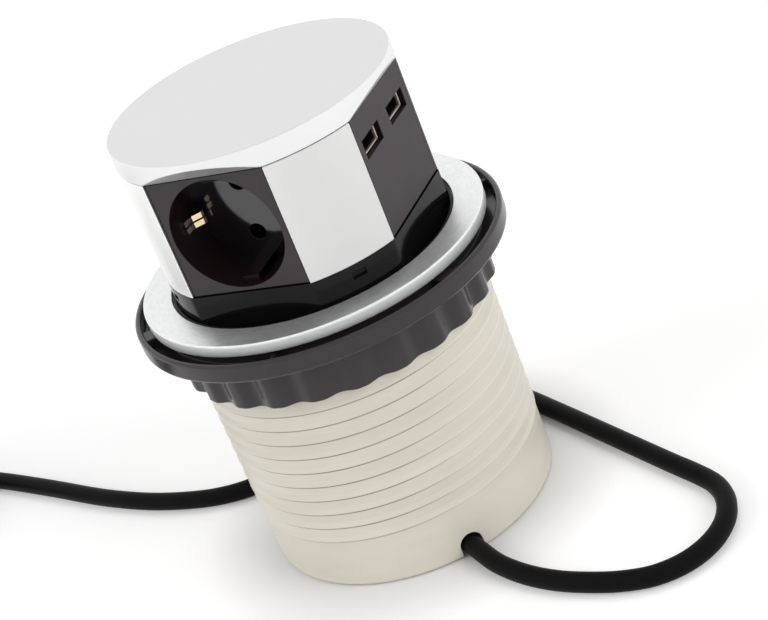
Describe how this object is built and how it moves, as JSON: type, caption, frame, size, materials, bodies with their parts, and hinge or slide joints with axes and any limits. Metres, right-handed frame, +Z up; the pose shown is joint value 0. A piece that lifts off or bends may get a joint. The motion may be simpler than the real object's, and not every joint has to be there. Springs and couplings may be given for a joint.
{
  "type": "pop up desk socket",
  "caption": "Pop up desk socket: a silver-capped head with sockets and USB ports rises out of a cream threaded barrel with trim ring, lobed clamping nut and black mains cord.",
  "frame": {"origin": "centre of the barrel's foot, on the surface it stands on", "axes": "+Z up the barrel axis, the way the head rises; -Y out of the front socket; +X out of the USB face"},
  "size_m": [0.5154, 0.1334, 0.1676],
  "materials": {
    "cream_plastic": "satin cream moulding",
    "brushed_aluminium": "brushed",
    "silver_panel": "satin",
    "silver_cap": "satin white silver",
    "black_gloss": "glossy",
    "socket_black": "satin faces",
    "charcoal_plastic": "satin",
    "dark_nylon": "matt",
    "white_nylon": "matt",
    "steel": "plain",
    "nickel": "bright",
    "brass": "plain",
    "board_green": "satin",
    "tape_yellow": "matt",
    "sleeve_blue": "glossy",
    "cord_black": "satin",
    "tie_black": "matt"
  },
  "bodies": {
    "base": {"barrel": "cream_plastic", "trim_ring": "brushed_aluminium", "wiper_ring": "black_gloss", "base_plate": "cream_plastic", "base_screws": "steel", "gland_body": "dark_nylon", "cord_relief": "cord_black", "guide_rods": "steel", "stop_washers": "steel", "rod_screws": "steel", "latch_body": "dark_nylon", "lift_spring": "steel", "inner_lead": "cord_black", "cord_free": "cord_black", "cord_coil": "cord_black", "coil_tie": "tie_black", "plug_body": "cord_black", "plug_pins": "nickel", "plug_earth": "nickel"},
    "head": {"head_skirt": "black_gloss", "guide_plate": "dark_nylon", "guide_bushes": "white_nylon", "latch_striker": "steel", "head_cap": "silver_cap", "side_panel_a": "silver_panel", "side_panel_b": "silver_panel", "side_panel_c": "silver_panel", "side_panel_d": "silver_panel", "socket_front": "socket_black", "socket_left": "socket_black", "socket_back": "socket_black", "earth_clip_front": "nickel", "earth_clip_left": "nickel", "earth_clip_back": "nickel", "contact_sleeves": "brass", "bus_bar_line": "brass", "bus_bar_neutral": "brass", "earth_bar": "brass", "terminal_block": "white_nylon", "usb_module": "socket_black", "usb_shells": "nickel", "usb_tongues": "socket_black", "usb_board": "board_green", "usb_transformer": "tape_yellow", "usb_capacitor": "sleeve_blue"},
    "clamp": {"clamp_ring": "charcoal_plastic"},
    "nut": {"clamp_nut": "charcoal_plastic"}
  },
  "joints": [
    {"name": "head_slide", "type": "slide", "parent": "base", "child": "head", "axis": [0, 0, 1], "range_m": [-0.0622, 0], "stiffness_N_per_m": 60, "springref_m": 0.08, "deforming": ["lift_spring", "inner_lead"]},
    {"name": "clamp_slide", "type": "slide", "parent": "base", "child": "clamp", "axis": [0, 0, 1], "range_m": [-0.055, 0]},
    {"name": "nut_spin", "type": "hinge", "parent": "clamp", "child": "nut", "pos_m": [0, 0, 0.088], "axis": [0, 0, 1], "range_deg": [-3360, 0]}
  ],
  "couplings": [
    {"joint": "nut_spin", "follows": "clamp_slide", "rad_per_m": 1064.9}
  ]
}
